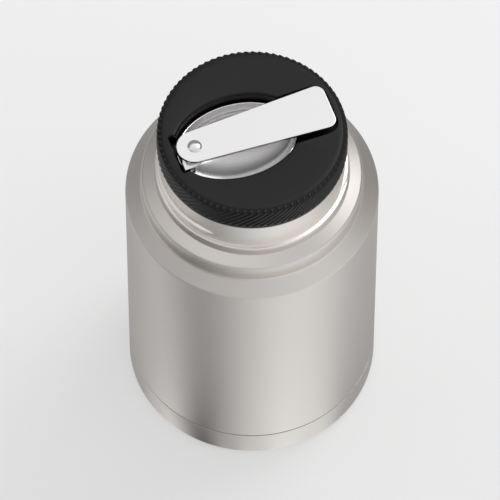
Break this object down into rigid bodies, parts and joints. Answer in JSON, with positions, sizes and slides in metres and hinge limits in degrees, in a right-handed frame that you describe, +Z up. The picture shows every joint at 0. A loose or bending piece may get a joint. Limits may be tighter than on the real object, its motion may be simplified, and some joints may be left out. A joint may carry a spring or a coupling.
{
  "type": "insulated food jar",
  "caption": "Double-walled steel food jar with a ribbed screw-in stopper and a folding spoon stored in its recess.",
  "frame": {"origin": "the jar's axis at the surface it stands on", "axes": "+Z up the jar's axis, +X to the right and -Y towards the viewer of the picture"},
  "size_m": [0.098, 0.098, 0.171],
  "materials": {
    "satin_steel": "satin brushed",
    "inner_steel": "fine satin",
    "spoon_steel": "polished satin",
    "seal_metal": "matt metal",
    "foil": "bright foil",
    "black_plastic": "matt moulded",
    "silicone": "soft silicone",
    "foam": "closed-cell foam",
    "washer_plastic": "natural nylon"
  },
  "bodies": {
    "jar": {"outer_shell": "satin_steel", "base_cap": "satin_steel", "vacuum_bottom": "satin_steel", "port_seal": "seal_metal", "inner_vessel": "inner_steel", "foil_wrap": "foil", "getter": "seal_metal"},
    "seal_ring": {"stopper_seal": "silicone"},
    "stopper": {"stopper_cap": "black_plastic", "stopper_plug": "black_plastic", "stopper_foam": "foam"},
    "spoon": {"spoon_bowl": "spoon_steel", "spoon_rivet": "spoon_steel", "pivot_washer": "washer_plastic"},
    "handle": {"spoon_handle": "spoon_steel"}
  },
  "joints": [
    {"name": "stopper_lift", "type": "slide", "parent": "jar", "child": "seal_ring", "axis": [0, 0, 1], "range_m": [0, 0.0481]},
    {"name": "stopper_turn", "type": "hinge", "parent": "seal_ring", "child": "stopper", "pos_m": [0, 0, 0.15], "axis": [0, 0, 1], "range_deg": [0, 1440]},
    {"name": "spoon_lift", "type": "slide", "parent": "stopper", "child": "spoon", "axis": [0, 0, 1], "range_m": [0, 0.06]},
    {"name": "handle_swivel", "type": "hinge", "parent": "spoon", "child": "handle", "pos_m": [-0.02185, -0.00808, 0.169], "axis": [0, 0, 1], "range_deg": [0, 180]}
  ],
  "couplings": [
    {"joint": "stopper_lift", "follows": "stopper_turn", "m_per_rad": 0.0019099}
  ]
}
